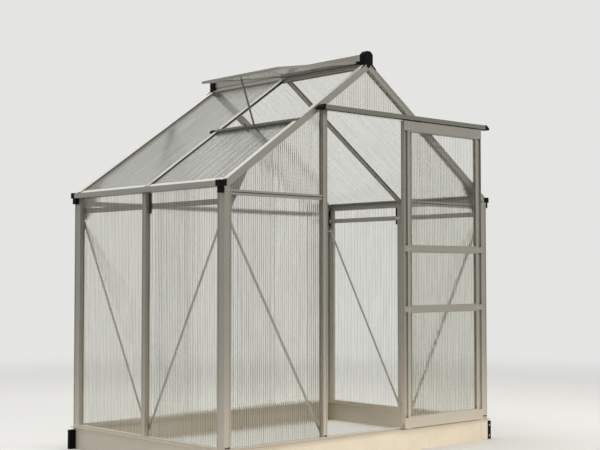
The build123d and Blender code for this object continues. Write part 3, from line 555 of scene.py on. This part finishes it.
def sheet_ends(u, v):
    """Lower and upper end of the flutes as functions of the place across the sheet.

    A line through the middle of both side edges divides the outline's corners into a lower and an upper
    chain."""
    sides = [u.min(), u.max()]
    middle = [np.ptp(v[np.isclose(u, side, atol=1e-4)]) / 2 + v[np.isclose(u, side, atol=1e-4)].min()
              for side in sides]
    upper = v > np.interp(u, sides, middle)

    def edge(chosen, pick):
        where = np.unique(np.round(u[chosen], 4))
        height = [pick(v[chosen & np.isclose(u, w, atol=1e-4)]) for w in where]
        return lambda across: np.interp(across, where, height)

    return edge(~upper, np.min), edge(upper, np.max)


# %% Twin-wall sheet
def twin_wall(points):
    """Points, faces, smooth flags, wall flags and flute coordinates of one sheet with all its flutes.

    Across the sheet, both outer faces follow a raised cosine that touches the full thickness at every web and
    sinks between webs. Each flute is a rectangular tube between two webs. Skins, tubes and the two cut ends
    close the sheet; everything is straight along the flutes."""
    axes = sheet_axes(points)
    u, v, n = axes @ points.T
    low_end, high_end = sheet_ends(u, v)
    thickness = np.ptp(n)
    flutes = int(round(np.ptp(u) / flute_pitch))
    pitch = np.ptp(u) / flutes
    lines = flutes * steps_per_flute + 1
    turn = np.arange(lines) / steps_per_flute
    depth = skin_sink * (1 + sink_spread * sheet_random.uniform(-1, 1, flutes + 1))
    sink = depth[np.floor(turn).astype(int)] * (1 - np.cos(2 * np.pi * turn)) / 2
    skin_u = u.min() + pitch * turn
    web = u.min() + pitch * np.arange(flutes + 1)
    left = web[:-1] + web_wall / 2
    right = web[1:] - web_wall / 2
    tube_u = np.stack([left, right, right, left], axis=1).ravel()
    inner = thickness / 2 - skin_wall - skin_sink
    tube_n = np.tile([-inner, -inner, inner, inner], flutes)
    row_u = np.concatenate([skin_u, skin_u, tube_u])
    row_n = np.concatenate([thickness / 2 - sink, sink - thickness / 2, tube_n]) + (n.min() + n.max()) / 2
    both_u = np.tile(row_u, 2)
    flute_count = (both_u - u.min()) / pitch
    both_v = np.concatenate([low_end(row_u), high_end(row_u)])
    made = np.stack([both_u, both_v, np.tile(row_n, 2)], axis=1) @ axes

    up = len(row_u)
    step = np.arange(lines - 1)
    top = np.stack([step, step + 1, step + 1 + up, step + up], axis=1)
    bottom = (top + lines)[:, ::-1]
    last = lines - 1
    sides = np.array([[lines + last, lines + last + up, last + up, last], [0, up, lines + up, lines]])
    tube = 2 * lines + 4 * np.arange(flutes)[:, None]
    lining = np.concatenate([tube + [0, 1, 1 + up, up], tube + [2, 3, 3 + up, 2 + up]])
    walls = np.concatenate([tube + [1, 2, 2 + up, 1 + up], tube + [3, 0, up, 3 + up]])

    first = steps_per_flute * np.arange(flutes)[:, None]
    forward = np.arange(steps_per_flute + 1)
    top_cut = np.concatenate([tube + [3, 2], first + forward[::-1]], axis=1)
    bottom_cut = np.concatenate([lines + first + forward, tube + [1, 0]], axis=1)
    skin_cuts = np.concatenate([top_cut, bottom_cut])
    here, before = tube[1:], tube[:-1]
    at_web = first[1:]
    web_cuts = np.concatenate([lines + at_web, here, here + 3, at_web, before + 2, before + 1], axis=1)
    end_cuts = np.array([[lines, tube[0, 0], tube[0, 0] + 3, 0],
                         [lines + last, last, tube[-1, 0] + 2, tube[-1, 0] + 1]])
    cuts = [skin_cuts, web_cuts, end_cuts]
    high_cuts = [cut[:, ::-1] + up for cut in cuts]
    groups = [top, bottom, sides, lining, walls, *cuts, *high_cuts]
    counts = [len(group) for group in groups]
    smooth = np.repeat([True, True] + [False] * (len(groups) - 2), counts)
    inside = np.repeat([0, 0, 0, 1, 2] + [0] * (len(groups) - 5), counts)
    return made, groups, smooth, inside, np.stack([flute_count, both_v], axis=1)


def glaze(name, body):
    """Replace one CAD node of sheets by the same sheets with their flutes."""
    sheets = [twin_wall(points) for points in solids(name)]
    offsets = np.cumsum([0] + [len(sheet[0]) for sheet in sheets])
    groups = [group + offset for sheet, offset in zip(sheets, offsets) for group in sheet[1]]
    points, flute_place = (np.concatenate([sheet[i] for sheet in sheets]) for i in (0, 4))
    smooth, inside = (np.concatenate([sheet[i] for sheet in sheets]) for i in (2, 3))
    finishes = [skin_finish, lining_finish, web_finish]
    piece = new_piece("fluted_" + name, points, groups, finishes, inside.astype(np.int32))
    mesh = piece.data
    mesh.polygons.foreach_set("use_smooth", smooth)
    mesh.set_sharp_from_angle(angle=math.radians(30))
    corners = np.empty(len(mesh.loops), dtype=int)
    mesh.loops.foreach_get("vertex_index", corners)
    layer = mesh.uv_layers.new(name="flutes")
    layer.data.foreach_set("uv", flute_place[corners].ravel())
    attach(piece, body)
    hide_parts(name)
    print(name, len(sheets), "sheets,", len(mesh.polygons), "faces")
    return piece


# %% Glaze the house
for name in ["wall_sheets_front", "wall_sheets_back", "wall_sheets_left", "wall_sheets_right",
             "gable_sheets_front", "gable_sheets_back", "roof_sheets_left", "roof_sheets_right",
             "vent_sheet"]:
    glaze(name, "frame")
glaze("door_sheets", "door")

# %% [markdown]
# ## Bolts, screws and small fittings
# The house is held together by a few dozen small heads. Each is a stack of rings, round for a washer and
# six-sided for a nut, so one function makes them all from a list of radii and heights. A stamped plate is
# the same stack with a rounded rectangle for its rings. All heads of one kind are one piece, since none of
# them moves by itself.


# %% Stacks of rings
def closed_stack(rings):
    """Points and faces of a solid made of rings with equal numbers of points, given from its seat up.

    Neighbouring rings are joined by four-sided walls, and the first and last ring are closed by one face
    each."""
    number = np.arange(rings.shape[0] * rings.shape[1]).reshape(rings.shape[:2])
    after = np.roll(number, -1, axis=1)
    walls = np.stack([number[:-1], after[:-1], after[1:], number[1:]], axis=-1).reshape(-1, 4)
    return rings.reshape(-1, 3), [walls, number[:1, ::-1], number[-1:]]


def turned(rings, steps=12):
    """A small head from rings of (corner radius, height, sides), where 0 sides is a circle.

    A hexagon's radius is its corner radius times the cosine of 30 degrees, over the cosine of the angle from
    the middle of the side."""
    radius, height, sides = np.array(rings).T[:, :, None]
    angle = 2 * np.pi * np.arange(steps) / steps
    side_angle = np.pi / 3
    hexagon = np.cos(side_angle / 2) / np.cos(np.mod(angle, side_angle) - side_angle / 2)
    reach = radius * np.where(sides > 0, hexagon, 1.0)
    return closed_stack(np.stack([reach * np.cos(angle), reach * np.sin(angle), height + 0 * reach], axis=-1))


def stamped(length, width, thickness, corner, steps=16):
    """A flat plate: a circle's quarters moved out to the four corners, with a small break of the top edge."""
    angle = 2 * np.pi * (np.arange(steps) + 0.5) / steps
    way = np.stack([np.cos(angle), np.sin(angle)], axis=-1)
    centre = np.sign(way) * (np.array([length, width]) / 2 - corner)
    broken = min(corner, thickness) / 3
    rings = [(corner, 0.0), (corner, thickness - broken), (corner - broken, thickness)]
    flat = [np.column_stack([centre + radius * way, np.full(steps, height)]) for radius, height in rings]
    return closed_stack(np.array(flat))


# %% Fit copies
posts_low, posts_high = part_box("corner_posts")
middle_y = (posts_low[1] + posts_high[1]) / 2


def planted(shape, places, axes):
    """Copies of one shape, each on its own place with its z axis along its own axis.

    The copy's first direction is square to its axis and to the world axis that its axis leans to least."""
    points, groups = shape
    helper = np.eye(3)[np.abs(axes).argmin(axis=1)]
    side = np.cross(helper, axes)
    side = side / np.linalg.norm(side, axis=1, keepdims=True)
    turn = np.stack([side, np.cross(axes, side), axes], axis=1)
    made = np.einsum("pk,nkc->npc", points, turn) + places[:, None]
    offset = len(points) * np.arange(len(places))[:, None, None]
    return made.reshape(-1, 3), [(group + offset).reshape(-1, group.shape[1]) for group in groups]


def mirrored(fittings, sides=(1, -1), ends=(1, -1)):
    """Places and axes on both sides and at both ends of the house, from those at the front left corner."""
    places, axes = (np.array(values, dtype=float) for values in zip(*fittings))
    signs = np.array([(side, end, 1) for side in sides for end in ends])[:, None]
    middle = np.array([0, middle_y, 0])
    axes = axes / np.linalg.norm(axes, axis=1, keepdims=True)
    return ((places - middle) * signs + middle).reshape(-1, 3), (axes * signs).reshape(-1, 3)


def fit(name, shape, spots, finish, body="frame"):
    piece = new_piece(name, *planted(shape, *spots), [finish])
    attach(piece, body)
    print(name, len(spots[0]), "copies,", len(piece.data.polygons), "faces")
    return piece


# %% Head shapes
nut_head = turned([(0.0064, 0, 0), (0.0064, 0.0010, 0), (0.0055, 0.0010, 6), (0.0055, 0.0044, 6),
                   (0.0046, 0.0052, 0)])
small_nut_scale = 0.72
small_nut = (nut_head[0] * small_nut_scale, nut_head[1])
pan_head = turned([(0.0048, 0, 0), (0.0048, 0.0009, 0), (0.0039, 0.0022, 0), (0.0022, 0.0027, 0),
                   (0.0019, 0.0027, 6), (0.0015, 0.0012, 6)])
rivet_head = turned([(0.0031, 0, 0), (0.0030, 0.0005, 0), (0.0020, 0.0012, 0), (0.0008, 0.0014, 0)])
print("four kinds of head")

# %% [markdown]
# ## Bolts of the bracing
# Flat braces are bolted to the inner faces of posts and studs, and the corner plates to post and rafter.
# The places are those of the CAD model's bars, measured on it, and each set is given once for the front
# left corner and mirrored.

# %% Brace and plate bolts
roof_foot = 1.332
half_width = 0.9305
roof_rise = math.tan(roof_tilt)
brace_head, brace_foot = 1.180, 0.150
gable_inner, side_inner = -0.581, -0.8975
gable_post_bolt, gable_stud_bolt = -0.8937, -0.3110
side_post_bolt, side_stud_bolt = -0.5685, 0.0060
fit("brace_bolts", nut_head, mirrored([
    ((gable_post_bolt, gable_inner, brace_head), (0, 1, 0)),
    ((gable_stud_bolt, gable_inner, brace_foot), (0, 1, 0)),
    ((side_inner, side_post_bolt, brace_head), (1, 0, 0)),
    ((side_inner, side_stud_bolt, brace_foot), (1, 0, 0))]), bolt_zinc)


def on_roof(from_middle, lift):
    """Height of a line parallel to the roof, at a distance from the middle, lifted square to the slope."""
    return roof_foot + roof_rise * (half_width - from_middle) + lift / math.cos(roof_tilt)


plate_inner = -0.582
under_rafter = -0.0307
plate_post_bolt = -0.8945
plate_low_bolt, plate_high_bolt = 1.212, 1.265
plate_outer_bolt, plate_far_bolt = 0.862, 0.775
fit("corner_plate_bolts", small_nut, mirrored([
    ((plate_post_bolt, plate_inner, plate_low_bolt), (0, 1, 0)),
    ((plate_post_bolt, plate_inner, plate_high_bolt), (0, 1, 0)),
    ((-plate_outer_bolt, plate_inner, on_roof(plate_outer_bolt, under_rafter)), (0, 1, 0)),
    ((-plate_far_bolt, plate_inner, on_roof(plate_far_bolt, under_rafter)), (0, 1, 0))]), bolt_zinc)

# %% [markdown]
# ## Brackets of the tie bars
# A level bar runs inside each side wall under the eave. Through the sheet, a short dark bracket shows
# beside each upright, above and below that bar. Each is a stamped strip with a bolt through the bar.

# %% Tie bar brackets
bracket = stamped(0.100, 0.014, 0.003, 0.0025)
bracket_level, tie_bolt_level = 1.255, 1.241
bracket_at_post, bracket_at_stud, tie_bar_face = -0.9005, -0.9045, -0.8925
beside, post_line, stud_line = 0.013, 0.5900, 0.0215
tie_post_bolt, tie_stud_bolt = -0.563, 0.004
fit("tie_bar_brackets", bracket, mirrored([
    ((bracket_at_post, beside - post_line, bracket_level), (1, 0, 0)),
    ((bracket_at_stud, beside - stud_line, bracket_level), (1, 0, 0))]), black_moulding)
fit("tie_bar_bolts", nut_head, mirrored([
    ((tie_bar_face, tie_post_bolt, tie_bolt_level), (1, 0, 0)),
    ((tie_bar_face, tie_stud_bolt, tie_bolt_level), (1, 0, 0))]), bolt_zinc)

# %% [markdown]
# ## Bolts on the roof
# Each middle rafter is bolted through its channel near the ridge and near the gutter. The bar under the
# vent has a tab over each rafter with one bolt, and a moulded clip beside the middle one that keeps it off
# the sheet.

# %% Roof bolts and vent fittings
up_slope = (-math.sin(roof_tilt), 0, math.cos(roof_tilt))
channel = -0.0015
tab_top = 0.0023
on_sheet = -0.006
ridge_bolt, gutter_bolt = 0.052, 0.885
vent_bar_place, front_tab, clip_beside = 0.480, -0.599, 0.0425
stay_bolt_place = (-0.5615, -0.2850, 1.8777)
hinge_side, hinge_front, hinge_back, hinge_level = -0.037, -0.578, 0.011, 1.9755
only_here = {"sides": (1,), "ends": (1,)}
fit("rafter_bolts", nut_head, mirrored([
    ((-ridge_bolt, middle_y, on_roof(ridge_bolt, channel)), up_slope),
    ((-gutter_bolt, middle_y, on_roof(gutter_bolt, channel)), up_slope)], ends=(1,)), bolt_zinc)
fit("vent_bar_bolts", small_nut, mirrored([
    ((-vent_bar_place, middle_y, on_roof(vent_bar_place, tab_top)), up_slope),
    ((-vent_bar_place, front_tab, on_roof(vent_bar_place, tab_top)), up_slope)], **only_here), bolt_zinc)
fit("vent_bar_clip", stamped(0.020, 0.026, 0.0105, 0.003), mirrored([
    ((-vent_bar_place, clip_beside, on_roof(vent_bar_place, on_sheet)), up_slope)], **only_here),
    black_moulding)
fit("stay_bolt", small_nut, mirrored([(stay_bolt_place, (0, -1, 0))], **only_here), bolt_zinc)
fit("vent_hinge_plugs", stamped(0.010, 0.034, 0.0015, 0.003), mirrored([
    ((hinge_side, hinge_front, hinge_level), (0, -1, 0)),
    ((hinge_side, hinge_back, hinge_level), (0, 1, 0))], **only_here), black_moulding)

# %% [markdown]
# ## Dark strips of painted shade
# A dark strip fills the line along every level gable bar, and another lies along both sides of the
# middle rafters, where the sheets meet them. They are thin, and they are painted shade: they draw the dark
# lines of shade in the bars' grooves and on the rafters' sides, which set each bar off.

# %% Strips of painted shade
strip_depth = 0.0010
line_height = 0.0036
strip_corner = 0.0004
bar_height, bar_line = 1.282, -0.6085
outer_bar, middle_bar = 0.5720, 0.5780
outer_bar_middle = -0.604
# Painted shade: a dark strip in the line along each level gable bar.
fit("gable_bar_strips", stamped(line_height, outer_bar, strip_depth, strip_corner),
    mirrored([((outer_bar_middle, bar_line, bar_height), (0, -1, 0))]), shade_strip_finish)
fit("back_bar_strip", stamped(line_height, middle_bar, strip_depth, strip_corner),
    mirrored([((0, 2 * middle_y - bar_line, bar_height), (0, 1, 0))], **only_here), shade_strip_finish)
# Painted shade: dark strips along both sides of the middle rafters.
shade_strip_start, shade_strip_end = 0.900, 0.034
shade_strip_middle = (shade_strip_start + shade_strip_end) / 2
shade_strip_beside = 0.0165
shade_strip = stamped((shade_strip_start - shade_strip_end) / math.cos(roof_tilt), 0.0030, 0.0030, 0.0008)
fit("rafter_shade_strips", shade_strip, mirrored([
    ((-shade_strip_middle, middle_y - shade_strip_beside, on_roof(shade_strip_middle, on_sheet)), up_slope)]), shade_strip_finish)

# %% [markdown]
# ## Screws at the base and on the door
# Two pale round heads hold each black ear to the base. On the door, the face plate of every rail is riveted
# to both uprights, and each roller turns on a pin with a nut behind its hanger.

# %% Screws, rivets and roller nuts
ear_middle, ear_face = -0.952, -0.612
ear_screw_levels = [0.077, 0.020]
fit("ear_screws", pan_head,
    mirrored([((ear_middle, ear_face, level), (0, -1, 0)) for level in ear_screw_levels]), bolt_zinc)
door_low, door_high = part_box("door_rails")
door_plate_face = door_low[1]
rail_levels = [0.136, 0.164, 0.729, 1.041, 1.662, 1.689]
rivet_inset = 0.036
rivets = [((x, door_plate_face, z), (0, -1, 0))
          for x in (door_low[0] + rivet_inset, door_high[0] - rivet_inset) for z in rail_levels]
fit("door_rivets", rivet_head, mirrored(rivets, **only_here), bolt_zinc, body="door")
hanger_low, hanger_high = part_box("door_hangers")
hanger_inset = 0.015
roller_face, roller_height = -0.636, 1.7163
fit("roller_nuts", small_nut, mirrored([
    ((x, roller_face, roller_height), (0, 1, 0))
    for x in (hanger_low[0] + hanger_inset, hanger_high[0] - hanger_inset)], **only_here), bolt_zinc,
    body="door")
